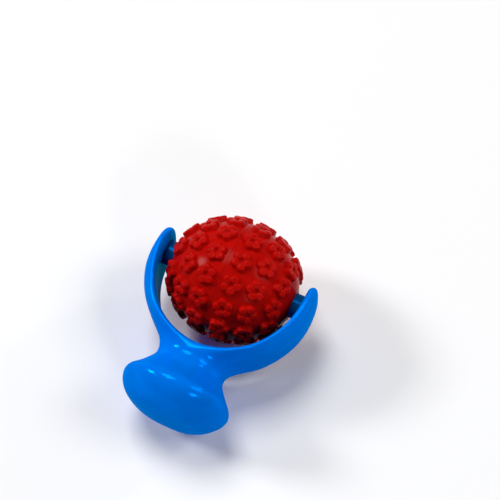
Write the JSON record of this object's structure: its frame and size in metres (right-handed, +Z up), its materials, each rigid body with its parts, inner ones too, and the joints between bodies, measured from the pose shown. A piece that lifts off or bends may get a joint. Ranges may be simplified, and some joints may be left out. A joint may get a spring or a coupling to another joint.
{
  "type": "clay texture roller",
  "caption": "Palm-held clay texture roller: a crescent handle with a rounded knob carries a freely spinning ball covered in raised flowers.",
  "frame": {"origin": "on the table, under the middle of the roller's length and width, with the roller lying on its ball and knob", "axes": "+X along the axle, +Y from the palm knob towards the ball, +Z up"},
  "size_m": [0.0646, 0.0825, 0.0468],
  "materials": {
    "handle": "glossy moulded bright blue",
    "axle": "glossy moulded blue, a little greener than the handle",
    "ball": "glossy moulded red"
  },
  "bodies": {
    "holder": {"handle": "handle", "axle": "axle"},
    "ball": {"ball_left_half": "ball", "ball_right_half": "ball"}
  },
  "joints": [
    {"name": "ball_spin", "type": "hinge", "parent": "holder", "child": "ball", "pos_m": [0, 0.01785, 0.0234], "axis": [1, 0, 0], "continuous": true}
  ]
}
